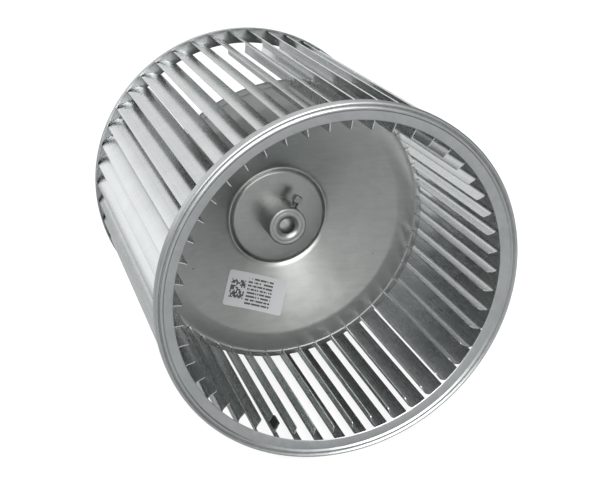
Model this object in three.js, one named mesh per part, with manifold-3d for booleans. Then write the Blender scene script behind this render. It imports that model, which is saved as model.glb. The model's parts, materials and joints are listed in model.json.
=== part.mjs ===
// Blower motor wheel: a double-inlet squirrel-cage wheel in galvanised steel.
// Units are millimetres. +Z is up, the wheel spins about the Y axis and its hub faces -Y.
// The origin is the centre of the wheel. Angles go from +X towards +Z, as seen from the front.
import * as THREE from 'three';
import { mergeVertices } from 'three/addons/utils/BufferGeometryUtils.js';
import Module from 'manifold-3d';

const wasm = await Module();
wasm.setup();

// Driving dimensions
const WHEEL_RADIUS = 134.95;
const HALF_WIDTH = 134.95;
const FIT_GAP = 0.3;

// End rings: a beaded front wall, a rolled-back inner lip and an outer flange around the blade ends
const RING_SHEET = 1.1;
const RING_LIP_RADIUS = 122;
const RING_LIP_DEPTH = 3.5;
const RING_FLANGE_DEPTH = 7;
const OUTER_BEAD_RADIUS = 133.6;
const INNER_BEAD_RADIUS = 130.6;
const BEAD_HALF_WIDTH = 0.8;
const BEAD_HEIGHT = 1;
const RING_SEGMENTS = 60;

// Blades: 48 forward-curved blades, each with a short straight lead, a bend and a shallow curve.
// Angles of the section are measured from the radius at the blade's inner edge.
const BLADE_COUNT = 48;
const BLADE_PITCH = 360 / BLADE_COUNT;
const BLADE_SHEET = 0.6;
const BLADE_INNER_RADIUS = 114.3;
const BLADE_FIRST_ANGLE = 5.7;
const BLADE_LEAD = 5.5;
const BLADE_LEAD_ANGLE = -6;
const BLADE_BEND_RADIUS = 6;
const BLADE_BEND_ANGLE = 44;
const BLADE_TAIL_RADIUS = 29.7;
const BLADE_LENGTH = 26.19;
const BLADE_CORNER = 1.6;
const BLADE_TAB_START = 14.6;
const BLADE_STATIONS = [0, 0.5, 1.6, 3.5, 5.5, 7.1, 8.9, 10.736, 12.5];
const BLADE_HALF_LENGTH = HALF_WIDTH - 8;
const BLADE_TAB_HALF_LENGTH = HALF_WIDTH - 3.7;

// Centre disc: a dished pan with a slotted rim and a raised middle
const DISC_SHEET = 1.3;
const DISC_RADIUS = 119.4;
const DISC_RIM_Y = -1.25;
const DISC_LIP_RADIUS = 115.4;
const DISC_LIP_DROP = 0.8;
const PAN_RADIUS = 98;
const PAN_Y = 1.55;
const CONE_END_RADIUS = 44;
const CONE_END_Y = 20.84;
const BOSS_FOOT_RADIUS = 41.8;
const BOSS_FOOT_Y = 21.85;
const BOSS_RADIUS = 38.4;
const BOSS_Y = 19.05;
const DISC_HOLE_RADIUS = 11.3;
const DISC_SEGMENTS = 60;

// Hub: turned steel, spigot swaged behind the disc
const HUB_RADIUS = 15.9;
const HUB_FRONT_Y = -4.95;
const HUB_BACK_Y = 23.2;
const BORE_RADIUS = 6.35;
const BORE_CHAMFER_RADIUS = 9.4;
const SWAGE_RADIUS = 14;
const HUB_SEGMENTS = 36;

// Set screw: 1/4 in square head, in a radial hole through one side of the hub
const SCREW_ANGLE = 60;
const SCREW_Y = 5.05;
const SCREW_RADIUS = 3.175;
const SCREW_TIP = 7;
const SCREW_HEAD_START = 19.9;
const SCREW_HEAD_END = 25.3;
const SCREW_HEAD_WIDTH = 6.5;
const SPOT_FACE_RADIUS = 6;
const SPOT_FACE_DISTANCE = 15.3;

// Balance clip and label
const CLIP_BLADE = 32;
const CLIP_START_Y = -HALF_WIDTH + 10;
const CLIP_WIDTH = 10;
const CLIP_SHEET = 0.7;
const LABEL_WIDTH = 54;
const LABEL_HEIGHT = 28.4;
const LABEL_CENTRE = [-23.7, -62.5];
const LABEL_TILT = -20.7;
const LABEL_SHEET = 0.25;

const radians = THREE.MathUtils.degToRad;

// Materials
const ringSteel = new THREE.MeshStandardMaterial({ color: 0x8b9090, roughness: 0.38, metalness: 1 });
const bladeSteel = new THREE.MeshStandardMaterial({ color: 0xb4babb, roughness: 0.25, metalness: 1 });
const discSteel = new THREE.MeshStandardMaterial({ color: 0x868a89, roughness: 0.42, metalness: 1 });
const hubSteel = new THREE.MeshStandardMaterial({ color: 0x7c8081, roughness: 0.3, metalness: 1 });
const screwSteel = new THREE.MeshStandardMaterial({ color: 0x5f6262, roughness: 0.35, metalness: 1 });
const clipSteel = new THREE.MeshStandardMaterial({ color: 0x26292a, roughness: 0.45, metalness: 1 });
const labelFilm = new THREE.MeshStandardMaterial({ color: 0xc3c6c6, roughness: 0.5, metalness: 0.2 });

/** Signed volume of an indexed triangle mesh: positive when its faces point out. */
function signedVolume(geometry) {
  const position = geometry.getAttribute('position');
  const index = geometry.index;
  const [a, b, c] = [new THREE.Vector3(), new THREE.Vector3(), new THREE.Vector3()];
  let volume = 0;
  for (let i = 0; i < index.count; i += 3) {
    a.fromBufferAttribute(position, index.getX(i));
    b.fromBufferAttribute(position, index.getX(i + 1));
    c.fromBufferAttribute(position, index.getX(i + 2));
    volume += a.dot(b.cross(c)) / 6;
  }
  return volume;
}

/** Merges shared vertices and turns the faces outwards. */
function closed(geometry) {
  geometry.deleteAttribute('normal');
  geometry.deleteAttribute('uv');
  const merged = mergeVertices(geometry, 1e-4);
  if (signedVolume(merged) < 0) {
    const flipped = Array.from(merged.index.array);
    for (let i = 0; i < flipped.length; i += 3) {
      [flipped[i + 1], flipped[i + 2]] = [flipped[i + 2], flipped[i + 1]];
    }
    merged.setIndex(flipped);
  }
  return merged;
}

/** Turns a closed geometry into a solid that can be cut or joined. */
function solidOf(geometry) {
  const mesh = closed(geometry);
  const vertProperties = new Float32Array(mesh.getAttribute('position').array);
  const triVerts = new Uint32Array(mesh.index.array);
  return new wasm.Manifold(new wasm.Mesh({ numProp: 3, vertProperties, triVerts }));
}

/** Turns a cut or joined solid back into a geometry with smooth-edged faces. */
function geometryOf(solid) {
  const mesh = solid.getMesh();
  const geometry = new THREE.BufferGeometry();
  geometry.setAttribute('position', new THREE.BufferAttribute(mesh.vertProperties, 3));
  geometry.setIndex(Array.from(mesh.triVerts));
  geometry.computeVertexNormals();
  return geometry;
}

/** A ring-shaped solid from a closed outline of [radius, y] points. */
function revolved(outline, segments) {
  const points = [...outline, outline[0]].map(([radius, y]) => new THREE.Vector2(radius, y));
  return new THREE.LatheGeometry(points, segments);
}

/** A closed sheet from rows of [front, back] point pairs, one row after another. */
function sheetFromRows(rows) {
  const positions = [];
  for (const row of rows) {
    for (const [front, back] of row) {
      positions.push(...front, ...back);
    }
  }
  const across = rows[0].length;
  const at = (i, j, side) => 2 * (i * across + j) + side;
  const indices = [];
  const quad = (a, b, c, d) => indices.push(a, b, c, a, c, d);
  for (let i = 0; i < rows.length - 1; i += 1) {
    for (let j = 0; j < across - 1; j += 1) {
      quad(at(i, j, 0), at(i, j + 1, 0), at(i + 1, j + 1, 0), at(i + 1, j, 0));
      quad(at(i, j, 1), at(i + 1, j, 1), at(i + 1, j + 1, 1), at(i, j + 1, 1));
    }
    quad(at(i, 0, 0), at(i + 1, 0, 0), at(i + 1, 0, 1), at(i, 0, 1));
    quad(at(i, across - 1, 0), at(i, across - 1, 1), at(i + 1, across - 1, 1), at(i + 1, across - 1, 0));
  }
  const last = rows.length - 1;
  for (let j = 0; j < across - 1; j += 1) {
    quad(at(0, j, 0), at(0, j, 1), at(0, j + 1, 1), at(0, j + 1, 0));
    quad(at(last, j, 0), at(last, j + 1, 0), at(last, j + 1, 1), at(last, j, 1));
  }
  const geometry = new THREE.BufferGeometry();
  geometry.setAttribute('position', new THREE.Float32BufferAttribute(positions, 3));
  geometry.setIndex(indices);
  return closed(geometry);
}

/** The point at a radius and an angle in degrees, as [x, z]. */
function polar(radius, angle) {
  return [radius * Math.cos(radians(angle)), radius * Math.sin(radians(angle))];
}

/** The point of the blade's section at a distance along it, moved off its middle by an offset. */
function bladePoint(distance, offset) {
  const bendLength = BLADE_BEND_RADIUS * radians(BLADE_BEND_ANGLE - BLADE_LEAD_ANGLE);
  const lead = Math.min(distance, BLADE_LEAD);
  const bent = Math.min(Math.max(distance - BLADE_LEAD, 0), bendLength);
  const tail = Math.max(distance - BLADE_LEAD - bendLength, 0);
  const start = radians(BLADE_LEAD_ANGLE);
  const middle = start + bent / BLADE_BEND_RADIUS;
  const heading = middle + tail / BLADE_TAIL_RADIUS;
  const x = lead * Math.cos(start)
    + BLADE_BEND_RADIUS * (Math.sin(middle) - Math.sin(start))
    + BLADE_TAIL_RADIUS * (Math.sin(heading) - Math.sin(middle));
  const z = lead * Math.sin(start)
    + BLADE_BEND_RADIUS * (Math.cos(start) - Math.cos(middle))
    + BLADE_TAIL_RADIUS * (Math.cos(middle) - Math.cos(heading));
  return [
    BLADE_INNER_RADIUS + x - offset * Math.sin(heading),
    z + offset * Math.cos(heading),
  ];
}

/** How much shorter the blade is at a distance from its inner edge, for its rounded corners. */
function cornerCut(distance) {
  const inside = Math.max(BLADE_CORNER - distance, 0);
  return BLADE_CORNER - Math.sqrt(BLADE_CORNER ** 2 - inside ** 2);
}

/** One blade at angle zero: rounded inner corners, and a wide tab at each end for its ring. */
function bladeGeometry() {
  const stations = [
    ...BLADE_STATIONS.map((distance) => [distance, BLADE_HALF_LENGTH - cornerCut(distance)]),
    [BLADE_TAB_START - 0.4, BLADE_HALF_LENGTH],
    ...[0, 0.25, 0.5, 0.75, 1].map((part) => [
      BLADE_TAB_START + part * (BLADE_LENGTH - BLADE_TAB_START),
      BLADE_TAB_HALF_LENGTH,
    ]),
  ];
  const rows = stations.map(([distance, halfLength]) => {
    const [frontX, frontZ] = bladePoint(distance, BLADE_SHEET / 2);
    const [backX, backZ] = bladePoint(distance, -BLADE_SHEET / 2);
    return [-halfLength, halfLength].map((y) => [[frontX, y, frontZ], [backX, y, backZ]]);
  });
  return sheetFromRows(rows);
}

/** The front face of one rolled bead, from its outer foot over the crest to its inner foot. */
function bead(crestRadius, crestDepth) {
  return [
    [crestRadius + BEAD_HALF_WIDTH, crestDepth + 0.5 * BEAD_HEIGHT],
    [crestRadius, crestDepth],
    [crestRadius - BEAD_HALF_WIDTH, crestDepth + 0.4 * BEAD_HEIGHT],
    [crestRadius - 1.8 * BEAD_HALF_WIDTH, crestDepth + 1.1 * BEAD_HEIGHT],
  ];
}

/** The front end ring; the rear ring is the same piece turned round. */
function ringGeometry() {
  const channelRadius = WHEEL_RADIUS - RING_SHEET;
  const frontLine = [
    [WHEEL_RADIUS, RING_FLANGE_DEPTH],
    [WHEEL_RADIUS, 1.4],
    ...bead(OUTER_BEAD_RADIUS, 0),
    ...bead(INNER_BEAD_RADIUS, 0.2),
    [RING_LIP_RADIUS + 0.4, RING_LIP_DEPTH - 0.3],
    [RING_LIP_RADIUS, RING_LIP_DEPTH],
  ];
  const backLine = [
    [RING_LIP_RADIUS + 0.6, RING_LIP_DEPTH + 0.9],
    [127.5, 3],
    [channelRadius, 2.4],
    [channelRadius, RING_FLANGE_DEPTH],
  ];
  const outline = [...frontLine, ...backLine].map(([radius, depth]) => [radius, depth - HALF_WIDTH]);
  return closed(revolved(outline, RING_SEGMENTS));
}

/** The dished disc, with one curved slot in its rim for each blade. */
function discGeometry() {
  const frontLine = [
    [DISC_RADIUS, DISC_RIM_Y],
    [DISC_LIP_RADIUS, DISC_RIM_Y],
    [DISC_LIP_RADIUS - 1, DISC_RIM_Y + DISC_LIP_DROP],
    [PAN_RADIUS, PAN_Y],
    [CONE_END_RADIUS, CONE_END_Y],
    [BOSS_FOOT_RADIUS, BOSS_FOOT_Y],
    [BOSS_RADIUS, BOSS_Y],
    [DISC_HOLE_RADIUS, BOSS_Y],
  ];
  const backLine = frontLine.map(([radius, y]) => [radius, y + DISC_SHEET]).reverse();
  const disc = solidOf(revolved([...frontLine, ...backLine], DISC_SEGMENTS));

  const slotHalf = BLADE_SHEET / 2 + FIT_GAP;
  const along = BLADE_STATIONS.slice(0, 6);
  const outline = [
    ...[...along].reverse().map((distance) => bladePoint(distance, slotHalf)),
    bladePoint(-slotHalf, slotHalf / 2),
    bladePoint(-slotHalf, -slotHalf / 2),
    ...along.map((distance) => bladePoint(distance, -slotHalf)),
  ];
  const slot = new THREE.Shape(outline.map(([x, z]) => new THREE.Vector2(x, z)));
  const cutters = [];
  for (let i = 0; i < BLADE_COUNT; i += 1) {
    const cutter = new THREE.ExtrudeGeometry(slot, { depth: 8, bevelEnabled: false });
    cutter.translate(0, 0, -4);
    cutter.rotateX(Math.PI / 2);
    cutter.rotateY(-radians(BLADE_FIRST_ANGLE + i * BLADE_PITCH));
    cutters.push(solidOf(cutter));
  }
  return geometryOf(disc.subtract(wasm.Manifold.union(cutters)));
}

/** A cylinder lying along the set screw's axis, between two distances from the spin axis. */
function alongScrew(radius, from, to, sides) {
  const cylinder = new THREE.CylinderGeometry(radius, radius, to - from, sides);
  cylinder.translate(0, (from + to) / 2, 0);
  return cylinder;
}

/** Turns a piece made along +Y so that it lies on the set screw's axis. */
function onScrewAxis(geometry) {
  geometry.rotateZ(-Math.PI / 2);
  geometry.rotateY(-radians(SCREW_ANGLE));
  geometry.translate(0, SCREW_Y, 0);
  return geometry;
}

/** The hub with its chamfered bore, radial screw hole and swaged end. */
function hubGeometry() {
  const shoulder = BOSS_Y - FIT_GAP;
  const swageFront = BOSS_Y + DISC_SHEET + FIT_GAP;
  const spigot = DISC_HOLE_RADIUS - FIT_GAP;
  const boreChamfer = BORE_CHAMFER_RADIUS - BORE_RADIUS;
  const outline = [
    [BORE_CHAMFER_RADIUS, HUB_FRONT_Y],
    [HUB_RADIUS - 0.8, HUB_FRONT_Y],
    [HUB_RADIUS, HUB_FRONT_Y + 0.8],
    [HUB_RADIUS, shoulder],
    [spigot, shoulder],
    [spigot, swageFront],
    [SWAGE_RADIUS, swageFront],
    [SWAGE_RADIUS, HUB_BACK_Y - 0.8],
    [SWAGE_RADIUS - 0.8, HUB_BACK_Y],
    [BORE_RADIUS + 1, HUB_BACK_Y],
    [BORE_RADIUS, HUB_BACK_Y - 1],
    [BORE_RADIUS, HUB_FRONT_Y + boreChamfer],
  ];
  const body = solidOf(revolved(outline, HUB_SEGMENTS));
  const hole = solidOf(onScrewAxis(alongScrew(SCREW_RADIUS + FIT_GAP, 0, HUB_RADIUS + 3, 24)));
  const spotFace = alongScrew(SPOT_FACE_RADIUS, SPOT_FACE_DISTANCE, HUB_RADIUS + 3, 24);
  return geometryOf(body.subtract(hole).subtract(solidOf(onScrewAxis(spotFace))));
}

/** The square-head set screw, with a cup-like chamfered point. */
function screwGeometry() {
  const shank = revolvedAlongScrew([
    [0, SCREW_TIP],
    [SCREW_RADIUS - 1.2, SCREW_TIP],
    [SCREW_RADIUS, SCREW_TIP + 1.2],
    [SCREW_RADIUS, SCREW_HEAD_START + 0.5],
    [0, SCREW_HEAD_START + 0.5],
  ]);
  const headLength = SCREW_HEAD_END - SCREW_HEAD_START;
  const head = new THREE.BoxGeometry(SCREW_HEAD_WIDTH, headLength, SCREW_HEAD_WIDTH);
  head.translate(0, SCREW_HEAD_START + headLength / 2, 0);
  return geometryOf(solidOf(shank).add(solidOf(onScrewAxis(head))));
}

/** A solid of revolution about the set screw's axis, from [radius, distance] points. */
function revolvedAlongScrew(outline) {
  const points = outline.map(([radius, distance]) => new THREE.Vector2(radius, distance));
  return onScrewAxis(new THREE.LatheGeometry(points, 24));
}

/** A spring clip folded over a blade's inner edge; its legs follow the blade. */
function clipGeometry() {
  const inner = BLADE_SHEET / 2 + FIT_GAP;
  const outer = inner + CLIP_SHEET;
  const steps = BLADE_STATIONS.slice(0, 5);
  const leg = (offset, list) => list.map((distance) => bladePoint(distance, offset));
  const fold = BLADE_INNER_RADIUS - FIT_GAP;
  const outline = [
    ...leg(outer, steps),
    ...leg(inner, [...steps].reverse()),
    [fold, inner],
    [fold, -inner],
    ...leg(-inner, steps),
    ...leg(-outer, [...steps].reverse()),
    [fold, -outer],
    [fold - CLIP_SHEET, -outer + 0.5],
    [fold - CLIP_SHEET, outer - 0.5],
    [fold, outer],
  ];
  const shape = new THREE.Shape(outline.map(([x, z]) => new THREE.Vector2(x, z)));
  const clip = new THREE.ExtrudeGeometry(shape, { depth: CLIP_WIDTH, bevelEnabled: false });
  clip.rotateX(Math.PI / 2);
  clip.translate(0, CLIP_START_Y + CLIP_WIDTH, 0);
  return closed(clip);
}

/** The label: a thin film that follows the cone of the disc. */
function labelGeometry() {
  const coneSlope = (CONE_END_Y - PAN_Y) / (PAN_RADIUS - CONE_END_RADIUS);
  const coneY = (radius) => CONE_END_Y - (radius - CONE_END_RADIUS) * coneSlope;
  const columns = 6;
  const lines = 4;
  const cornerPull = 0.9;
  const rows = [];
  for (let i = 0; i <= columns; i += 1) {
    const row = [];
    for (let j = 0; j <= lines; j += 1) {
      const corner = (i === 0 || i === columns) && (j === 0 || j === lines) ? cornerPull : 0;
      const along = (i / columns - 0.5) * (LABEL_WIDTH - 2 * corner);
      const up = (j / lines - 0.5) * (LABEL_HEIGHT - 2 * corner);
      const [alongX, alongZ] = polar(along, LABEL_TILT);
      const [upX, upZ] = polar(up, LABEL_TILT + 90);
      const x = LABEL_CENTRE[0] + alongX + upX;
      const z = LABEL_CENTRE[1] + alongZ + upZ;
      const back = coneY(Math.hypot(x, z)) - FIT_GAP;
      row.push([[x, back - LABEL_SHEET, z], [x, back, z]]);
    }
    rows.push(row);
  }
  return sheetFromRows(rows);
}

/** Adds a named piece to the wheel, turned about the spin axis by an angle in degrees. */
function addPiece(name, geometry, material, angle = 0) {
  const mesh = new THREE.Mesh(geometry, material);
  mesh.name = name;
  mesh.rotation.y = -radians(angle);
  wheel.add(mesh);
  return mesh;
}

const wheel = new THREE.Group();
wheel.name = 'blower_wheel';

const ring = ringGeometry();
addPiece('front_end_ring', ring, ringSteel);
addPiece('rear_end_ring', ring, ringSteel).rotation.x = Math.PI;
addPiece('centre_disc', discGeometry(), discSteel);
addPiece('hub', hubGeometry(), hubSteel);
addPiece('set_screw', screwGeometry(), screwSteel);
addPiece('label', labelGeometry(), labelFilm);

const blade = bladeGeometry();
for (let i = 0; i < BLADE_COUNT; i += 1) {
  const name = `blade_${String(i + 1).padStart(2, '0')}`;
  addPiece(name, blade, bladeSteel, BLADE_FIRST_ANGLE + i * BLADE_PITCH);
}
addPiece('balance_clip', clipGeometry(), clipSteel, BLADE_FIRST_ANGLE + CLIP_BLADE * BLADE_PITCH);

export default wheel;
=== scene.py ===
"""Blower motor wheel: builds the visible pieces of a squirrel-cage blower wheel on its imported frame.

All sizes are in metres. The wheel spins about Y, its hub faces -Y, and +Z is up.
"""

import json
import math

import bmesh
import bpy
from mathutils import Matrix, Vector


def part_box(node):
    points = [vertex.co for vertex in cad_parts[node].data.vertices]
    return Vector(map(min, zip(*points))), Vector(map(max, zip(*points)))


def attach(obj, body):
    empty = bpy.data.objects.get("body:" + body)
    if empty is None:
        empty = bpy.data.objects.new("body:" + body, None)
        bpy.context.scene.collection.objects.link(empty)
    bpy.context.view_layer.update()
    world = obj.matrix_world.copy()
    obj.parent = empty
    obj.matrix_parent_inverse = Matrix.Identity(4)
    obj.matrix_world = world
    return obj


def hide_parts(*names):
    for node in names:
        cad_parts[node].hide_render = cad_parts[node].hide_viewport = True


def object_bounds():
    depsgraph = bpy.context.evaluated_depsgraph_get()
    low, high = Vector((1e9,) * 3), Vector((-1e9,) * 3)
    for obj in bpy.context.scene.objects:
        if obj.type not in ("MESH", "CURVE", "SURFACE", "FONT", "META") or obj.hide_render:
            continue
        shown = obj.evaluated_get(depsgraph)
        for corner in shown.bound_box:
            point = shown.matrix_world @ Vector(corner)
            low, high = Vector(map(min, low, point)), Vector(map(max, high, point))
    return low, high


bl_info = {
    "name": "Blower motor wheel",
    "version": (1, 0, 0),
    "blender": (4, 5, 0),
    "location": "3D View > Sidebar > Blower Wheel",
    "description": "Builds a galvanised squirrel-cage blower wheel piece by piece",
    "category": "Object",
}

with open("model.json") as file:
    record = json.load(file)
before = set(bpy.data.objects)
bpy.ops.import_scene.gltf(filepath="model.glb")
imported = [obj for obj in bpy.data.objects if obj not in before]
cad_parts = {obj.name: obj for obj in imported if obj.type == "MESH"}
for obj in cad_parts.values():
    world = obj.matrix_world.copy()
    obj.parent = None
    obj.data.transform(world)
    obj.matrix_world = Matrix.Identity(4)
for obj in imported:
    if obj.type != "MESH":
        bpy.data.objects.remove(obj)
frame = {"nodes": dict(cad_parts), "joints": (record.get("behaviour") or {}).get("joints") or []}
CAD_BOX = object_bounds()
RING_LOW, RING_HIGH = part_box("front_end_ring")
HUB_LOW, HUB_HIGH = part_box("hub")
DISC_LOW, DISC_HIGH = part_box("centre_disc")
SCREW_LOW, SCREW_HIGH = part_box("set_screw")
SCREW_AXIS = Vector(frame["joints"][0]["axis"])
WHEEL_BODY = "wheel"
SCREW_BODY = "set_screw"
BLADE_NODES = sorted(name for name in frame["nodes"] if name.startswith("blade_"))
MM = 0.001
BLADE_PITCH = 2 * math.pi / len(BLADE_NODES)

# The disc: the y of its raised middle's face, and the two ends of its cone as (radius, y).
BOSS_FACE = 19.05 * MM
CONE_OUTER = (95.0 * MM, 2.65 * MM)
CONE_INNER = (46.0 * MM, 20.12 * MM)

# Distance between drawn tool rings, and the length at which a wave texture of scale 1 repeats.
TOOL_PITCH = 0.7 * MM
WAVE_PERIOD = 0.314


# ---------------------------------------------------------------- settings


def length(name, description, default):
    """A size in metres that a user can change."""
    return bpy.props.FloatProperty(
        name=name, description=description, default=default, unit="LENGTH", precision=5
    )


def turn(name, description, default):
    """An angle that a user can change; the default is in degrees."""
    return bpy.props.FloatProperty(
        name=name, description=description, default=math.radians(default), unit="ROTATION"
    )


def shade(name, description, default):
    """A colour that a user can change; the default is an sRGB hex value."""
    return bpy.props.FloatVectorProperty(
        name=name, description=description, default=linear(default)[:3], subtype="COLOR", size=3
    )


def linear(hex_colour):
    """Turns an sRGB hex value such as "#8b9090" into a linear RGBA colour."""
    parts = [int(hex_colour[i : i + 2], 16) / 255 for i in (1, 3, 5)]
    return (*[p / 12.92 if p <= 0.04045 else ((p + 0.055) / 1.055) ** 2.4 for p in parts], 1.0)


class WheelSizes(bpy.types.PropertyGroup):
    """Sizes of the rings, blades and disc."""

    ring_radius: length("Wheel radius", "Outer radius of the end rings", (RING_HIGH.x - RING_LOW.x) / 2)
    half_width: length("Half width", "From the wheel's centre to a ring's face", -RING_LOW.y)
    ring_flange: length("Ring flange", "Width of the ring's outer flange", RING_HIGH.y - RING_LOW.y)
    ring_sheet: length("Ring sheet", "Thickness of the ring's sheet", 1.1 * MM)
    lip_radius: length("Ring lip", "Inner radius of the end rings", 122 * MM)
    blade_inner: length("Blade inner radius", "Radius of the blades' inner edges", 114.3 * MM)
    blade_lead: length("Blade lead", "Straight part at a blade's inner edge", 5.5 * MM)
    blade_bend: length("Blade bend", "Radius of a blade's bend", 6 * MM)
    blade_curve: length("Blade curve", "Radius of a blade's shallow outer curve", 29.7 * MM)
    blade_length: length("Blade length", "Length of a blade's section", 26.19 * MM)
    blade_sheet: length("Blade sheet", "Thickness of a blade", 0.6 * MM)
    blade_first: turn("First blade", "Angle of the first blade's inner edge", 5.7)
    lead_angle: turn("Lead angle", "Lean of a blade's lead from the radius", -6)
    bend_angle: turn("Bend angle", "Lean of a blade after its bend", 44)
    disc_radius: length("Disc radius", "Outer radius of the centre disc", DISC_HIGH.x)
    disc_sheet: length("Disc sheet", "Thickness of the centre disc", 1.3 * MM)
    slot_width: length("Slot width", "Width of the disc's blade slots", 1.3 * MM)


class HubSizes(bpy.types.PropertyGroup):
    """Sizes of the hub, set screw and label."""

    hub_radius: length("Hub radius", "Outer radius of the hub", HUB_HIGH.x)
    bore_radius: length("Bore radius", "Radius of the shaft bore", 6.35 * MM)
    screw_radius: length("Screw radius", "Radius of the set screw's thread", 3.175 * MM)
    screw_pitch: length("Screw pitch", "Distance between thread crests", 1.27 * MM)
    label_width: length("Label width", "Width of the label", 54 * MM)
    label_height: length("Label height", "Height of the label", 28.4 * MM)
    label_tilt: turn("Label tilt", "Turn of the label on the disc", -20.7)


class WheelColours(bpy.types.PropertyGroup):
    """Colours of the finishes."""

    # Painted light: the blades' galvanised steel has a lighter tone than the same steel on the rings
    # and disc, standing in for the white backdrop the blades reflect.
    blade_zinc_painted_light: shade("Blade zinc", "Galvanised blade strip, lighter tone as painted light", "#c4c7c7")
    # Painted shade: the rings' galvanised steel has a darker tone than the same steel on the blades.
    ring_zinc_painted_shade: shade("Ring zinc", "Galvanised ring sheet, darker tone as painted shade", "#a2a5a5")
    # Painted shade: the disc's galvanised steel has the darkest tone of the three copies of one steel.
    disc_zinc_painted_shade: shade("Disc zinc", "Galvanised disc sheet, darker tone as painted shade", "#969896")
    hub_steel: shade("Hub steel", "Turned and zinc-plated hub", "#a3a5a4")
    screw_steel: shade("Screw steel", "Plated set screw", "#8d8f8e")
    clip_steel: shade("Clip steel", "Black oxide spring steel", "#45494a")
    label_film: shade("Label film", "Silver-grey label film", "#a6a9a9")
    label_ink: shade("Label ink", "Printed marks", "#141617")


# ---------------------------------------------------------------- materials


def add_node(tree, kind, inputs=None, **settings):
    """Adds a node with its settings, and sets or links its inputs. Returns the node."""
    made = tree.nodes.new(kind)
    for key, value in settings.items():
        setattr(made, key, value)
    for key, value in (inputs or {}).items():
        if isinstance(value, bpy.types.NodeSocket):
            tree.links.new(value, made.inputs[key])
        else:
            made.inputs[key].default_value = value
    return made


def new_material(name):
    """An empty node material: (material, its tree, its Principled shader)."""
    material = bpy.data.materials.new(name)
    material.use_nodes = True
    tree = material.node_tree
    tree.nodes.clear()
    shader = add_node(tree, "ShaderNodeBsdfPrincipled")
    add_node(tree, "ShaderNodeOutputMaterial", {"Surface": shader.outputs["BSDF"]})
    return material, tree, shader


def rgba(colour, gain=1.0):
    """A property's colour as RGBA, made lighter or darker by gain."""
    return (*[min(1.0, c * gain) for c in colour], 1.0)


def stretched(tree, scale=(1.0, 1.0, 1.0)):
    """Object coordinates in metres, scaled per axis."""
    place = add_node(tree, "ShaderNodeTexCoord")
    mapping = add_node(
        tree, "ShaderNodeMapping", {"Vector": place.outputs["Object"], "Scale": scale}
    )
    return mapping.outputs["Vector"]


def maths(tree, operation, *values):
    """The result of a math node on numbers or sockets."""
    return add_node(tree, "ShaderNodeMath", dict(enumerate(values)), operation=operation).outputs[0]


def remap(tree, value, start, end, low=0.0, high=1.0):
    """A value that goes from low to high as the given one goes from start to end."""
    ends = {"From Min": start, "From Max": end, "To Min": low, "To Max": high}
    return add_node(tree, "ShaderNodeMapRange", {"Value": value, **ends}).outputs["Result"]


def mix_colours(tree, share, first, second):
    """A colour that goes from first to second as share goes from 0 to 1."""
    inputs = {0: share, 6: first, 7: second}
    return add_node(tree, "ShaderNodeMix", inputs, data_type="RGBA").outputs[2]


def noise(tree, place, size, detail):
    """Soft noise whose features are about the given size in metres."""
    inputs = {"Vector": place, "Scale": 1 / size, "Detail": detail}
    return add_node(tree, "ShaderNodeTexNoise", inputs).outputs["Fac"]


def finish_metal(tree, shader, colour, gloss, height, strength, depth):
    """Gives a bare metal its colour, its roughness and a relief of the given depth in metres."""
    relief = add_node(
        tree, "ShaderNodeBump", {"Height": height, "Strength": strength, "Distance": depth}
    )
    tree.links.new(colour, shader.inputs["Base Color"])
    tree.links.new(gloss, shader.inputs["Roughness"])
    tree.links.new(relief.outputs["Normal"], shader.inputs["Normal"])
    shader.inputs["Metallic"].default_value = 1.0


def galvanised_sheet(name, colour, grain, rough, spangle, speck):
    """Hot-dip galvanised steel strip, rolled.

    The eye sees soft mirror streaks along the rolling direction, faint crystal patches of zinc
    8 mm or so across, and a few dark specks of storage stain.
    grain: scale per axis of the rolling lines. rough: lowest and highest roughness.
    spangle: how much the crystals show. speck: how much the stains show.
    """
    material, tree, shader = new_material(name)
    lines = add_node(
        tree,
        "ShaderNodeTexNoise",
        {"Vector": stretched(tree, grain), "Scale": 1.0, "Detail": 4.0, "Roughness": 0.6},
    ).outputs["Fac"]
    place = stretched(tree)
    crystals = add_node(
        tree, "ShaderNodeTexVoronoi", {"Vector": place, "Scale": 1 / (8 * MM), "Randomness": 1.0}
    )
    crystal_tone = add_node(tree, "ShaderNodeSeparateColor", {"Color": crystals.outputs["Color"]})
    tone = maths(tree, "MULTIPLY_ADD", crystal_tone.outputs["Red"], spangle, lines)
    mixed_tone = maths(tree, "MULTIPLY_ADD", noise(tree, place, 35 * MM, 3.0), 0.8, tone)
    spread = remap(tree, mixed_tone, 0.5, 1.3 + spangle)
    metal = mix_colours(tree, spread, rgba(colour, 0.86), rgba(colour, 1.1))
    stains = add_node(tree, "ShaderNodeTexVoronoi", {"Vector": place, "Scale": 1 / (24 * MM)})
    spot = remap(tree, stains.outputs["Distance"], 0.035, 0.02, high=speck)
    stained = mix_colours(tree, spot, metal, rgba(colour, 0.2))
    gloss = remap(tree, mixed_tone, 0.4, 1.5, *rough)
    finish_metal(tree, shader, stained, gloss, lines, 0.05, 0.02 * MM)
    return material


def turned_steel(name, colour, rough):
    """Zinc-plated mild steel, turned on a lathe.

    The eye sees fine tool rings, drawn far enough apart to show, and a slightly cloudy plate.
    rough: lowest and highest roughness.
    """
    material, tree, shader = new_material(name)
    place = stretched(tree)
    rings = add_node(
        tree,
        "ShaderNodeTexWave",
        {"Vector": place, "Scale": WAVE_PERIOD / TOOL_PITCH, "Distortion": 0.4, "Detail": 1.0},
        wave_type="RINGS",
        rings_direction="Y",
    )
    cloud = noise(tree, place, 6 * MM, 4.0)
    plate = mix_colours(tree, cloud, rgba(colour, 0.7), rgba(colour, 1.15))
    gloss = remap(tree, cloud, 0.0, 1.0, *rough)
    finish_metal(tree, shader, plate, gloss, rings.outputs["Fac"], 0.3, 0.04 * MM)
    return material


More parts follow.
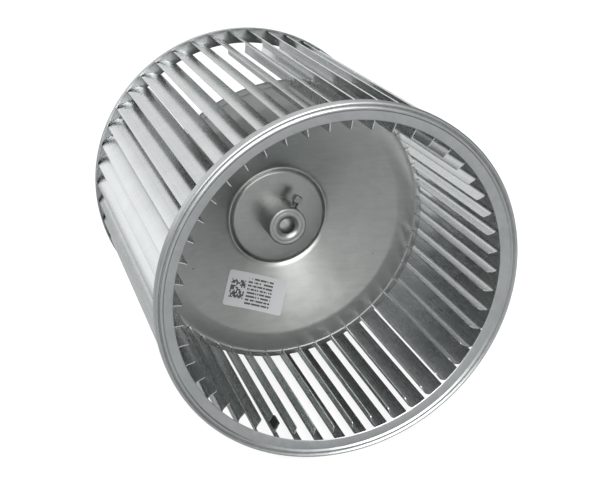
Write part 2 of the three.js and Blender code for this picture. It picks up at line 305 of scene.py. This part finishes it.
def black_oxide_steel(name, colour):
    """Spring steel with a black oxide finish.

    The eye sees a dark grey metal with a dull oily shine that breaks up in small patches.
    """
    material, tree, shader = new_material(name)
    patches = noise(tree, stretched(tree), 1.5 * MM, 5.0)
    oxide = mix_colours(tree, patches, rgba(colour, 0.6), rgba(colour, 1.8))
    gloss = remap(tree, patches, 0.0, 1.0, 0.3, 0.55)
    finish_metal(tree, shader, oxide, gloss, patches, 0.2, 0.03 * MM)
    return material


def printed_film(name, film, ink):
    """Silver-grey polyester label film with a thermal print.

    The eye sees a flat grey sheet, a dark block of small square cells and rows of
    short dark bars. The marks are a plain pattern and stand for no letters or code.
    """
    material, tree, shader = new_material(name)
    place = add_node(tree, "ShaderNodeUVMap", uv_map="print").outputs["UV"]
    axes = add_node(tree, "ShaderNodeSeparateXYZ", {"Vector": place})
    across, up = axes.outputs["X"], axes.outputs["Y"]

    def both(first, second):
        """The product of two masks."""
        return maths(tree, "MULTIPLY", first, second)

    def inside(value, low, high):
        """1 where value lies between low and high, else 0."""
        return both(maths(tree, "GREATER_THAN", value, low), maths(tree, "LESS_THAN", value, high))

    def cells(columns, rows, share):
        """1 in a share of the cells of a regular grid over the label, else 0."""
        grid = add_node(
            tree, "ShaderNodeVectorMath", {0: place, 1: (columns, rows, 1)}, operation="MULTIPLY"
        )
        corner = add_node(tree, "ShaderNodeVectorMath", {0: grid.outputs[0]}, operation="FLOOR")
        chance = add_node(
            tree, "ShaderNodeTexWhiteNoise", {"Vector": corner.outputs[0]}, noise_dimensions="2D"
        )
        return maths(tree, "LESS_THAN", chance.outputs["Value"], share)

    block = both(both(inside(across, 0.07, 0.32), inside(up, 0.24, 0.76)), cells(44, 22, 0.6))
    bar_rows = 10
    row_part = maths(tree, "FRACT", maths(tree, "MULTIPLY", up, bar_rows))
    bars = both(inside(row_part, 0.2, 0.72), cells(90, bar_rows, 0.8))
    bar_field = both(inside(across, 0.36, 0.78), inside(up, 0.1, 0.9))
    marks = maths(tree, "MAXIMUM", block, both(bars, bar_field))
    ink_share = maths(tree, "MULTIPLY", marks, 0.92)
    print_colour = mix_colours(tree, ink_share, rgba(film), rgba(ink))
    gloss = remap(tree, noise(tree, stretched(tree), 2 * MM, 3.0), 0.0, 1.0, 0.4, 0.55)
    tree.links.new(print_colour, shader.inputs["Base Color"])
    tree.links.new(gloss, shader.inputs["Roughness"])
    return material


# ---------------------------------------------------------------- mesh tools


def polar(radius, angle):
    """The point at a radius and an angle from +X towards +Z, as (x, z)."""
    return radius * math.cos(angle), radius * math.sin(angle)


def shell(front, back, quads):
    """A closed sheet from matching front and back points, and quads of their indices."""
    bm = bmesh.new()
    near = [bm.verts.new(p) for p in front]
    far = [bm.verts.new(p) for p in back]
    border = {}
    for quad in quads:
        bm.faces.new([near[i] for i in quad])
        bm.faces.new([far[i] for i in reversed(quad)])
        for i, j in zip(quad, quad[1:] + quad[:1]):
            if (j, i) in border:
                del border[(j, i)]
            else:
                border[(i, j)] = True
    for i, j in border:
        bm.faces.new((near[j], near[i], far[i], far[j]))
    loose = [v for v in bm.verts if not v.link_faces]
    bmesh.ops.delete(bm, geom=loose, context="VERTS")
    bmesh.ops.recalc_face_normals(bm, faces=bm.faces)
    return bm


def grid_quads(rows, columns, wraps=False):
    """Quads over a grid of points stored row by row; wraps joins the last row to the first."""
    quads = []
    for i in range(rows if wraps else rows - 1):
        for j in range(columns - 1):
            a, b = i * columns + j, ((i + 1) % rows) * columns + j
            quads.append((a, a + 1, b + 1, b))
    return quads


def smooth_line(points, steps):
    """A smooth line through points, with that many steps between neighbours."""
    vectors = [Vector(p) for p in points]
    ends = [2 * vectors[0] - vectors[1], *vectors, 2 * vectors[-1] - vectors[-2]]
    line = []
    for a, b, c, d in zip(ends, ends[1:], ends[2:], ends[3:]):
        square_part = 2 * a - 5 * b + 4 * c - d
        cube_part = 3 * b - a - 3 * c + d
        for k in range(steps):
            t = k / steps
            line.append(0.5 * (2 * b + (c - a) * t + square_part * t**2 + cube_part * t**3))
    return [*line, vectors[-1]]


def turned(outline, segments, radius_at=None):
    """A solid of revolution about Y from a closed outline of (radius, y) points.

    radius_at(radius, y, angle) may change the radius round the turn.
    """
    bm = bmesh.new()
    rings = []
    for i in range(segments):
        angle = 2 * math.pi * i / segments
        ring = []
        for radius, y in outline:
            here = radius_at(radius, y, angle) if radius_at else radius
            x, z = polar(here, angle)
            ring.append(bm.verts.new((x, y, z)))
        rings.append(ring)
    count = len(outline)
    for i in range(segments):
        one, two = rings[i], rings[(i + 1) % segments]
        for j in range(count):
            k = (j + 1) % count
            bm.faces.new((one[j], one[k], two[k], two[j]))
    bmesh.ops.remove_doubles(bm, verts=bm.verts, dist=1e-7)
    bmesh.ops.recalc_face_normals(bm, faces=bm.faces)
    return bm


def to_mesh(name, bm):
    """Turns a bmesh into a mesh of that name, and frees it."""
    mesh = bpy.data.meshes.new(name)
    bm.to_mesh(mesh)
    bm.free()
    return mesh


def add_object(name, data):
    """Adds an object with that data to the scene."""
    made = bpy.data.objects.new(name, data)
    bpy.context.scene.collection.objects.link(made)
    return made


def place_mesh(name, mesh, material, body, nodes, sharp=35):
    """Gives a mesh its finish, and puts it on its body in place of its CAD nodes.

    sharp: edges that turn by more than this many degrees stay sharp.
    """
    mesh.materials.append(material)
    mesh.polygons.foreach_set("use_smooth", [True] * len(mesh.polygons))
    mesh.set_sharp_from_angle(angle=math.radians(sharp))
    piece = add_object(name, mesh)
    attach(piece, body)
    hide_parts(*nodes)
    return piece


def finish_piece(name, bm, material, body, nodes, sharp=35):
    """As place_mesh, from a bmesh."""
    return place_mesh(name, to_mesh(name, bm), material, body, nodes, sharp)


def lay_on_screw_axis(bm):
    """Moves a mesh that was turned about Y onto the set screw's axis."""
    lay = SCREW_AXIS.to_track_quat("Y", "Z").to_matrix().to_4x4()
    middle = Matrix.Translation((0, (SCREW_LOW.y + SCREW_HIGH.y) / 2, 0))
    bmesh.ops.transform(bm, matrix=middle @ lay, verts=bm.verts)


# ---------------------------------------------------------------- shapes


def ring_outline(sizes):
    """The end ring's section: two rolled beads, a sloping annulus and the outer flange."""
    face = -sizes.half_width
    radius, sheet, flange = sizes.ring_radius, sizes.ring_sheet, sizes.ring_flange
    lip = sizes.lip_radius
    beads = [
        (radius - 0.1 * MM, face + 1.7 * MM),
        (radius - 0.4 * MM, face + 0.6 * MM),
        (radius - 1.2 * MM, face),
        (radius - 2.1 * MM, face + 0.4 * MM),
        (radius - 2.7 * MM, face + 1.2 * MM),
        (radius - 3.1 * MM, face + 1.2 * MM),
        (radius - 3.6 * MM, face + 0.7 * MM),
        (radius - 4.4 * MM, face + 0.4 * MM),
        (radius - 5.2 * MM, face + 0.5 * MM),
        (radius - 5.8 * MM, face + 1.3 * MM),
        (radius - 6.3 * MM, face + 1.65 * MM),
        (radius - 7.2 * MM, face + 1.75 * MM),
    ]
    front = [
        (radius, face + flange),
        (radius, face + 3.6 * MM),
        *[tuple(p) for p in smooth_line(beads, 3)],
        (lip + 0.8 * MM, face + 3.15 * MM),
        (lip + 0.2 * MM, face + 3.35 * MM),
        (lip, face + 3.7 * MM),
    ]
    back = [
        (lip + 0.3 * MM, face + 4.0 * MM),
        (lip + 0.8 * MM, face + 4.1 * MM),
        (127.4 * MM, face + 3.0 * MM),
        (radius - sheet - 0.5 * MM, face + 2.4 * MM),
        (radius - sheet, face + 2.9 * MM),
        (radius - sheet, face + flange),
    ]
    return front + back


def blade_point(sizes, distance, offset):
    """The blade's section at angle zero: (x, z) at a distance along it, off its middle by offset."""
    bend, curve = sizes.blade_bend, sizes.blade_curve
    bend_length = bend * (sizes.bend_angle - sizes.lead_angle)
    lead = min(distance, sizes.blade_lead)
    bent = min(max(distance - sizes.blade_lead, 0), bend_length)
    tail = max(distance - sizes.blade_lead - bend_length, 0)
    first = sizes.lead_angle
    middle = first + bent / bend
    last = middle + tail / curve
    x = lead * math.cos(first) + bend * (math.sin(middle) - math.sin(first))
    x += curve * (math.sin(last) - math.sin(middle))
    z = lead * math.sin(first) + bend * (math.cos(first) - math.cos(middle))
    z += curve * (math.cos(middle) - math.cos(last))
    return sizes.blade_inner + x - offset * math.sin(last), z + offset * math.cos(last)


def blade_turn(sizes, radius):
    """How far forward the blade has come where it crosses a radius, as an angle."""
    step_length = 0.05 * MM
    for step in range(200):
        x, z = blade_point(sizes, step * step_length, 0)
        if math.hypot(x, z) >= radius:
            break
    return math.atan2(z, x)


def blade_mesh(sizes):
    """One blade: a rounded inner corner, wide tabs that go into the rings, and a stake notch."""
    ring_gap, tab_gap = 8 * MM, 3.7 * MM
    body = sizes.half_width - ring_gap
    tab = sizes.half_width - tab_gap
    tab_start = 14.6 * MM
    whole = sizes.blade_length
    corner = 1.6 * MM
    lead_steps = [0, 0.1, 0.35, 0.8, 1.6, 2.4, 3.5, 4.5]
    bend_steps = [5.5 + 0.66 * k for k in range(9)]
    curve_steps = [12, 13.2]
    columns = []
    for distance in [*lead_steps, *bend_steps, *curve_steps]:
        inside = max(corner - distance * MM, 0)
        columns.append((distance * MM, body - corner + math.sqrt(corner**2 - inside**2)))
    columns += [(tab_start - 0.6 * MM, body), (tab_start - 0.1 * MM, body + 0.5 * MM), (tab_start, tab)]
    columns += [(tab_start + (whole - tab_start) * k / 10, tab) for k in range(1, 11)]
    notch_at, notch_half, notch_depth = 3.4 * MM, 0.9 * MM, 0.7 * MM
    notch = [(0, notch_at - notch_half), (0, notch_at), (0, notch_at + notch_half)]
    levels = [(-1, 0), (-0.8, 0), (-0.4, 0), *notch, (0.4, 0), (0.8, 0), (1, 0)]
    sides = []
    for offset in (sizes.blade_sheet / 2, -sizes.blade_sheet / 2):
        side = []
        for share, shift in levels:
            last = whole - notch_depth if shift == notch_at else whole
            for distance, reach in columns:
                x, z = blade_point(sizes, min(distance, last), offset)
                side.append((x, share * reach + shift, z))
        sides.append(side)
    return to_mesh("blade", shell(*sides, grid_quads(len(levels), len(columns))))


def disc_line(sizes):
    """The disc's front as (radius, y) points: its flange, and the rest down to the hub hole."""
    rim_y = DISC_LOW.y
    flange = [
        (sizes.disc_radius, rim_y + 0.1 * MM),
        (sizes.disc_radius - 0.4 * MM, rim_y),
        (117.4 * MM, rim_y + 0.05 * MM),
        (116.3 * MM, rim_y + 0.25 * MM),
        (115.4 * MM, rim_y + 0.05 * MM),
        (114.7 * MM, rim_y + 0.55 * MM),
        (114.0 * MM, rim_y + 0.8 * MM),
    ]
    pan = [
        (112.0 * MM, -0.2 * MM),
        (106.0 * MM, 0.45 * MM),
        (100.5 * MM, 1.15 * MM),
        (98.6 * MM, 1.45 * MM),
        (97.2 * MM, 1.95 * MM),
        CONE_OUTER,
        (80.0 * MM, 8.0 * MM),
        (62.0 * MM, 14.42 * MM),
        CONE_INNER,
        (44.0 * MM, 20.84 * MM),
        (43.1 * MM, 21.45 * MM),
        (42.4 * MM, 21.85 * MM),
        (41.7 * MM, 21.9 * MM),
        (41.1 * MM, 21.55 * MM),
        (40.2 * MM, 20.5 * MM),
        (39.4 * MM, 19.6 * MM),
        (38.6 * MM, 19.15 * MM),
        (37.6 * MM, BOSS_FACE),
        (26.0 * MM, BOSS_FACE),
        (11.3 * MM, BOSS_FACE),
    ]
    return flange, pan


def disc_mesh(sizes):
    """The dished disc, with a curved slot in its flange for each blade."""
    flange, pan = disc_line(sizes)
    line = flange + pan
    slot_half = sizes.slot_width / 2
    # Three rows of points go across each slot, and five more lead to the next one.
    slot_rows, plain_rows = 3, 5
    blade_rows = slot_rows + plain_rows
    leans = [blade_turn(sizes, radius) for radius, _ in line]
    front, back = [], []
    for k in range(len(BLADE_NODES)):
        start = sizes.blade_first + k * BLADE_PITCH
        for step in range(blade_rows):
            for (radius, y), lean in zip(line, leans):
                half = slot_half / radius
                centre = start + lean
                if step < slot_rows:
                    angle = centre + (step - 1) * half
                else:
                    angle = centre + half + (BLADE_PITCH - 2 * half) * (step - 2) / (plain_rows + 1)
                x, z = polar(radius, angle)
                front.append((x, y, z))
                back.append((x, y + sizes.disc_sheet, z))
    columns = len(line)
    quads = []
    for quad in grid_quads(len(BLADE_NODES) * blade_rows, columns, wraps=True):
        row, column = divmod(quad[0], columns)
        in_slot = row % blade_rows < slot_rows - 1 and column < len(flange) - 1
        if not in_slot:
            quads.append(quad)
    return shell(front, back, quads)


# ---------------------------------------------------------------- operators


class WHEEL_OT_end_rings(bpy.types.Operator):
    """Adds the two beaded end rings"""

    bl_idname = "wheel.end_rings"
    bl_label = "End rings"

    def execute(self, context):
        # Painted shade: the ring steel's colour is darker than the blade steel's.
        zinc = galvanised_sheet(
            "galvanised_ring_sheet_painted_shade",
            context.scene.wheel_colours.ring_zinc_painted_shade,
            grain=(260.0, 260.0, 260.0),
            rough=(0.28, 0.36),
            spangle=0.25,
            speck=0.35,
        )
        outline = ring_outline(context.scene.wheel_sizes)
        for name, turn_over in (("front_end_ring", False), ("rear_end_ring", True)):
            bm = turned(outline, 288)
            if turn_over:
                bmesh.ops.rotate(bm, verts=bm.verts, matrix=Matrix.Rotation(math.pi, 3, "X"))
            finish_piece(f"{name}_rolled", bm, zinc, WHEEL_BODY, [name], sharp=50)
        return {"FINISHED"}


class WHEEL_OT_blades(bpy.types.Operator):
    """Adds the forward-curved blades"""

    bl_idname = "wheel.blades"
    bl_label = "Blades"

    def execute(self, context):
        sizes = context.scene.wheel_sizes
        # Painted light: the blade steel's colour is lighter than the ring and disc steel's.
        zinc = galvanised_sheet(
            "galvanised_blade_strip_painted_light",
            context.scene.wheel_colours.blade_zinc_painted_light,
            grain=(600.0, 3.0, 600.0),
            rough=(0.24, 0.3),
            spangle=0.15,
            speck=0.3,
        )
        mesh = blade_mesh(sizes)
        for k, node in enumerate(BLADE_NODES):
            here = mesh.copy()
            here.transform(Matrix.Rotation(-(sizes.blade_first + k * BLADE_PITCH), 4, "Y"))
            place_mesh(f"{node}_curved", here, zinc, WHEEL_BODY, [node])
        return {"FINISHED"}


class WHEEL_OT_centre_disc(bpy.types.Operator):
    """Adds the dished centre disc"""

    bl_idname = "wheel.centre_disc"
    bl_label = "Centre disc"

    def execute(self, context):
        # Painted shade: the disc steel's colour is darker than the blade steel's.
        zinc = galvanised_sheet(
            "galvanised_disc_sheet_painted_shade",
            context.scene.wheel_colours.disc_zinc_painted_shade,
            grain=(60.0, 60.0, 300.0),
            rough=(0.27, 0.33),
            spangle=0.25,
            speck=0.8,
        )
        bm = disc_mesh(context.scene.wheel_sizes)
        finish_piece("centre_disc_dished", bm, zinc, WHEEL_BODY, ["centre_disc"], sharp=50)
        return {"FINISHED"}


class WHEEL_OT_hub(bpy.types.Operator):
    """Adds the turned hub with its bore, screw hole and swaged end"""

    bl_idname = "wheel.hub"
    bl_label = "Hub"

    def execute(self, context):
        sizes = context.scene.hub_sizes
        front, back = HUB_LOW.y, HUB_HIGH.y
        radius, bore = sizes.hub_radius, sizes.bore_radius
        outline = [
            (bore + 0.35 * MM, front + 2.2 * MM),
            (bore + 0.9 * MM, front + 1.5 * MM),
            (9.3 * MM, front + 0.15 * MM),
            (9.6 * MM, front),
            (12.2 * MM, front),
            (12.6 * MM, front + 0.15 * MM),
            (13.0 * MM, front),
            (radius - 1.3 * MM, front),
            (radius - 0.6 * MM, front + 0.2 * MM),
            (radius - 0.15 * MM, front + 0.7 * MM),
            (radius, front + 1.3 * MM),
            (radius, BOSS_FACE - 1.2 * MM),
            (radius, BOSS_FACE - 0.1 * MM),
            (11.2 * MM, BOSS_FACE - 0.1 * MM),
            (11.2 * MM, BOSS_FACE + 1.5 * MM),
            (13.4 * MM, BOSS_FACE + 1.5 * MM),
            (14.0 * MM, BOSS_FACE + 2.1 * MM),
            (13.9 * MM, BOSS_FACE + 3.2 * MM),
            (12.9 * MM, back - 0.1 * MM),
            (11.6 * MM, back),
            (bore + 1.0 * MM, back),
            (bore, back - 1.0 * MM),
            (bore, front + 2.9 * MM),
        ]
        bm = turned(outline, 128)
        steel = turned_steel(
            "turned_zinc_plated_hub_steel", context.scene.wheel_colours.hub_steel, (0.26, 0.42)
        )
        sharp = 40
        hub = finish_piece("hub_turned", bm, steel, WHEEL_BODY, ["hub"], sharp=sharp)
        # The screw's hole, and the flat spot face round it, as (radius, start, end).
        outside = 20 * MM
        cutters = [
            (sizes.screw_radius + 0.25 * MM, 0.0, outside),
            (6.1 * MM, 15.25 * MM, outside),
        ]
        for cut_radius, start, end in cutters:
            bm = turned([(0, start), (cut_radius, start), (cut_radius, end), (0, end)], 48)
            lay_on_screw_axis(bm)
            cutter = add_object("screw_hole", to_mesh("screw_hole", bm))
            cut = hub.modifiers.new("screw_hole", "BOOLEAN")
            cut.operation = "DIFFERENCE"
            cut.solver = "EXACT"
            cut.object = cutter
            context.view_layer.update()
            whole = hub.evaluated_get(context.evaluated_depsgraph_get())
            hub.data = bpy.data.meshes.new_from_object(whole)
            hub.modifiers.clear()
            bpy.data.objects.remove(cutter)
        hub.data.set_sharp_from_angle(angle=math.radians(sharp))
        return {"FINISHED"}


class WHEEL_OT_set_screw(bpy.types.Operator):
    """Adds the square-head set screw"""

    bl_idname = "wheel.set_screw"
    bl_label = "Set screw"

    def execute(self, context):
        sizes = context.scene.hub_sizes
        radius, pitch = sizes.screw_radius, sizes.screw_pitch
        head_half = (SCREW_HIGH.y - SCREW_LOW.y) / 2
        head_start, head_end = 19.9 * MM, 25.3 * MM
        outline = [(0, 7.6 * MM), (radius - 2.0 * MM, 7.0 * MM), (radius - 1.3 * MM, 7.1 * MM)]
        crest = 8.3 * MM
        while crest < head_start - pitch:
            outline += [(radius - 0.55 * MM, crest), (radius, crest + pitch / 2)]
            crest += pitch
        outline += [
            (radius - 0.5 * MM, head_start - 0.3 * MM),
            (radius - 0.4 * MM, head_start),
            (4.3 * MM, head_start),
            (4.6 * MM, head_start + 0.4 * MM),
            (4.6 * MM, head_end - 1.1 * MM),
            (3.6 * MM, head_end - 0.25 * MM),
            (3.0 * MM, head_end),
            (0, head_end),
        ]

        def square(here, y, angle):
            """Flattens the head to a square with its chamfered corners left round."""
            if y < head_start:
                return here
            return min(here, head_half / max(abs(math.cos(angle)), abs(math.sin(angle))))

        bm = turned(outline, 64, square)
        lay_on_screw_axis(bm)
        steel = turned_steel(
            "plated_set_screw_steel", context.scene.wheel_colours.screw_steel, (0.25, 0.45)
        )
        finish_piece("set_screw_square", bm, steel, SCREW_BODY, ["set_screw"], sharp=30)
        return {"FINISHED"}


class WHEEL_OT_balance_clip(bpy.types.Operator):
    """Adds the spring clip on one blade's inner edge"""

    bl_idname = "wheel.balance_clip"
    bl_label = "Balance clip"

    def execute(self, context):
        sizes = context.scene.wheel_sizes
        low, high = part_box("balance_clip")
        middle = (low + high) / 2
        where = math.atan2(middle.z, middle.x) % (2 * math.pi)
        k = round((where - sizes.blade_first) / BLADE_PITCH)
        gap, sheet = sizes.blade_sheet / 2 + 0.15 * MM, 0.7 * MM
        reach = [5.2 * MM, 4.3 * MM, 3.4 * MM, 2.2 * MM, 1.1 * MM, 0.0]
        flare = [0.3 * MM, 0.1 * MM, 0.0, 0.0, 0.0, 0.0]

        def side(distance):
            """The clip's line at a distance from the blade's middle, round the fold."""
            upper = [blade_point(sizes, r, distance + f) for r, f in zip(reach, flare)]
            lower = [blade_point(sizes, r, -distance - f) for r, f in zip(reach, flare)]
            fold = []
            fold_steps = 8
            for step in range(1, fold_steps):
                angle = math.pi * step / fold_steps
                x = sizes.blade_inner - 0.1 * MM - distance * math.sin(angle)
                fold.append((x, distance * math.cos(angle)))
            return [*upper, *fold, *reversed(lower)]

        inner, outer = side(gap), side(gap + sheet)
        edge = 1.2 * MM
        levels = [low.y, low.y + edge, high.y - edge, high.y]
        near = [(x, y, z) for y in levels for x, z in outer]
        far = [(x, y, z) for y in levels for x, z in inner]
        bm = shell(near, far, grid_quads(len(levels), len(outer)))
        angle = -(sizes.blade_first + k * BLADE_PITCH)
        bmesh.ops.rotate(bm, verts=bm.verts, matrix=Matrix.Rotation(angle, 3, "Y"))
        steel = black_oxide_steel("black_oxide_spring_steel", context.scene.wheel_colours.clip_steel)
        finish_piece("balance_clip_spring", bm, steel, WHEEL_BODY, ["balance_clip"])
        return {"FINISHED"}


class WHEEL_OT_label(bpy.types.Operator):
    """Adds the label on the disc's cone"""

    bl_idname = "wheel.label"
    bl_label = "Label"

    def execute(self, context):
        sizes = context.scene.hub_sizes
        width, height = sizes.label_width, sizes.label_height
        centre = Vector((-23.7 * MM, -62.5 * MM))
        right = Vector(polar(1.0, sizes.label_tilt))
        upward = Vector(polar(1.0, sizes.label_tilt + math.pi / 2))
        corner = 2.2 * MM
        front_lift, back_lift = 0.22 * MM, 0.06 * MM
        cone_slope = (CONE_INNER[1] - CONE_OUTER[1]) / (CONE_OUTER[0] - CONE_INNER[0])
        ends = [0.0, 0.15, 0.4, 0.7, 1.0]
        levels = [corner * e for e in ends]
        levels += [corner + (height - 2 * corner) * k / 10 for k in range(1, 10)]
        levels += [height - corner * e for e in reversed(ends)]
        columns = 24
        near, far, marks = [], [], []
        for level in levels:
            inset = max(0.0, corner - min(level, height - level))
            half = width / 2 - corner + math.sqrt(max(0.0, corner**2 - inset**2))
            for j in range(columns + 1):
                along = (j / columns - 0.5) * 2 * half
                spot = centre + right * along + upward * (level - height / 2)
                cone_y = CONE_INNER[1] - (spot.length - CONE_INNER[0]) * cone_slope
                near.append((spot.x, cone_y - front_lift, spot.y))
                far.append((spot.x, cone_y - back_lift, spot.y))
                marks.append((along / width + 0.5, level / height))
        bm = shell(near, far, grid_quads(len(levels), columns + 1))
        bm.verts.index_update()
        layer = bm.loops.layers.uv.new("print")
        count = len(marks)
        for face in bm.faces:
            for loop in face.loops:
                loop[layer].uv = marks[loop.vert.index % count]
        film = printed_film(
            "silver_polyester_label_film",
            context.scene.wheel_colours.label_film,
            context.scene.wheel_colours.label_ink,
        )
        finish_piece("label_printed", bm, film, WHEEL_BODY, ["label"])
        return {"FINISHED"}


class WHEEL_OT_stage(bpy.types.Operator):
    """Adds the floor, the studio light and the camera"""

    bl_idname = "wheel.stage"
    bl_label = "Stage"

    def execute(self, context):
        scene = context.scene
        scene.view_settings.view_transform = "Standard"

        bm = bmesh.new()
        bmesh.ops.create_grid(bm, x_segments=1, y_segments=1, size=3.0)
        floor = add_object("floor", to_mesh("floor", bm))
        floor.location.z = CAD_BOX[0].z
        floor.data.materials.append(self.floor_paper())

        scene.world = bpy.data.worlds.new("studio")
        scene.world.use_nodes = True
        self.light_tent(scene.world.node_tree)

        self.softbox("top_softbox", spot=(-0.1, -0.7, 1.9), size=1.3, watts=12)
        self.softbox("front_softbox", spot=(-0.3, -1.5, 1.35), size=2.0, watts=62)

        camera = add_object("camera", bpy.data.cameras.new("camera"))
        camera.location = (-0.23526, -0.71913, 0.29899)
        look = Vector((0.2831, 0.8626, -0.4192))
        camera.rotation_mode = "QUATERNION"
        camera.rotation_quaternion = look.to_track_quat("-Z", "Y")
        camera.data.sensor_width = 36.0
        camera.data.lens = 59.89
        camera.data.shift_x = 0.0217
        camera.data.shift_y = 0.0687
        camera.data.dof.use_dof = False
        scene.camera = camera
        return {"FINISHED"}

    def floor_paper(self):
        """Background paper: white with a faint contact shadow to the camera, grey to the wheel."""
        material = bpy.data.materials.new("white_background_paper")
        material.use_nodes = True
        tree = material.node_tree
        tree.nodes.clear()
        seen = add_node(tree, "ShaderNodeEmission", {"Color": (1, 1, 1, 1), "Strength": 0.88})
        shaded = add_node(tree, "ShaderNodeBsdfDiffuse", {"Color": (0.15, 0.15, 0.15, 1)})
        paper = add_node(tree, "ShaderNodeAddShader", {0: seen.outputs[0], 1: shaded.outputs[0]})
        grey = add_node(tree, "ShaderNodeBsdfDiffuse", {"Color": (0.36, 0.365, 0.365, 1)})
        ray = add_node(tree, "ShaderNodeLightPath")
        both = add_node(
            tree,
            "ShaderNodeMixShader",
            {0: ray.outputs["Is Camera Ray"], 1: grey.outputs[0], 2: paper.outputs[0]},
        )
        add_node(tree, "ShaderNodeOutputMaterial", {"Surface": both.outputs[0]})
        return material

    def light_tent(self, tree):
        """A white tent, brightest overhead, with a dark flag on the right.

        A bright window stands behind the wheel on the left. The camera sees the tent as white.
        """
        tree.nodes.clear()
        direction = add_node(tree, "ShaderNodeTexCoord").outputs["Generated"]
        axes = add_node(tree, "ShaderNodeSeparateXYZ", {"Vector": direction})

        def towards(side):
            """How closely the direction points to a side: 1 when it points there."""
            product = add_node(
                tree, "ShaderNodeVectorMath", {0: direction, 1: side}, operation="DOT_PRODUCT"
            )
            return product.outputs["Value"]

        depth = remap(tree, axes.outputs["Y"], -1.0, 0.7, 0.7, 0.8)
        rise = remap(tree, axes.outputs["Z"], -0.15, 0.95, 0.7, 2.0)
        flag = remap(tree, towards((0.95, 0.3, -0.1)), 0.5, 0.8, 1.0, 0.2)
        window = remap(tree, towards((-0.503, 0.863, 0.04)), 0.9, 0.995, 0.0, 0.7)
        flagged = maths(tree, "MULTIPLY", maths(tree, "MULTIPLY", depth, rise), flag)
        lit = maths(tree, "ADD", flagged, window)
        ray = add_node(tree, "ShaderNodeLightPath")
        seen = maths(tree, "MAXIMUM", lit, ray.outputs["Is Camera Ray"])
        sky = add_node(tree, "ShaderNodeBackground", {"Color": (1, 1, 1, 1), "Strength": seen})
        add_node(tree, "ShaderNodeOutputWorld", {"Surface": sky.outputs[0]})

    def softbox(self, name, spot, size, watts):
        """A square softbox that faces the wheel's centre."""
        lamp = bpy.data.lights.new(name, "AREA")
        lamp.energy = watts
        lamp.size = size
        box = add_object(name, lamp)
        box.location = spot
        box.rotation_mode = "QUATERNION"
        box.rotation_quaternion = (-Vector(spot)).to_track_quat("-Z", "Y")


class WHEEL_PT_panel(bpy.types.Panel):
    """Lists the wheel's pieces and settings"""

    bl_label = "Blower wheel"
    bl_idname = "WHEEL_PT_panel"
    bl_space_type = "VIEW_3D"
    bl_region_type = "UI"
    bl_category = "Blower Wheel"

    def draw(self, context):
        for key, group in GROUPS:
            box = self.layout.box()
            for setting in group.__annotations__:
                box.prop(getattr(context.scene, key), setting)
        for operator in OPERATORS:
            self.layout.operator(operator.bl_idname)


GROUPS = (
    ("wheel_sizes", WheelSizes),
    ("hub_sizes", HubSizes),
    ("wheel_colours", WheelColours),
)
OPERATORS = (
    WHEEL_OT_stage,
    WHEEL_OT_end_rings,
    WHEEL_OT_blades,
    WHEEL_OT_centre_disc,
    WHEEL_OT_hub,
    WHEEL_OT_set_screw,
    WHEEL_OT_balance_clip,
    WHEEL_OT_label,
)


def register():
    """Registers the settings, operators and panel."""
    for key, group in GROUPS:
        bpy.utils.register_class(group)
        setattr(bpy.types.Scene, key, bpy.props.PointerProperty(type=group))
    for operator in OPERATORS:
        bpy.utils.register_class(operator)
    bpy.utils.register_class(WHEEL_PT_panel)


def unregister():
    """Removes the panel, operators and settings."""
    bpy.utils.unregister_class(WHEEL_PT_panel)
    for operator in reversed(OPERATORS):
        bpy.utils.unregister_class(operator)
    for key, group in reversed(GROUPS):
        delattr(bpy.types.Scene, key)
        bpy.utils.unregister_class(group)


def main():
    register()
    for operator in OPERATORS:
        group, action = operator.bl_idname.split(".")
        getattr(getattr(bpy.ops, group), action)()


if __name__ == "__main__":
    main()
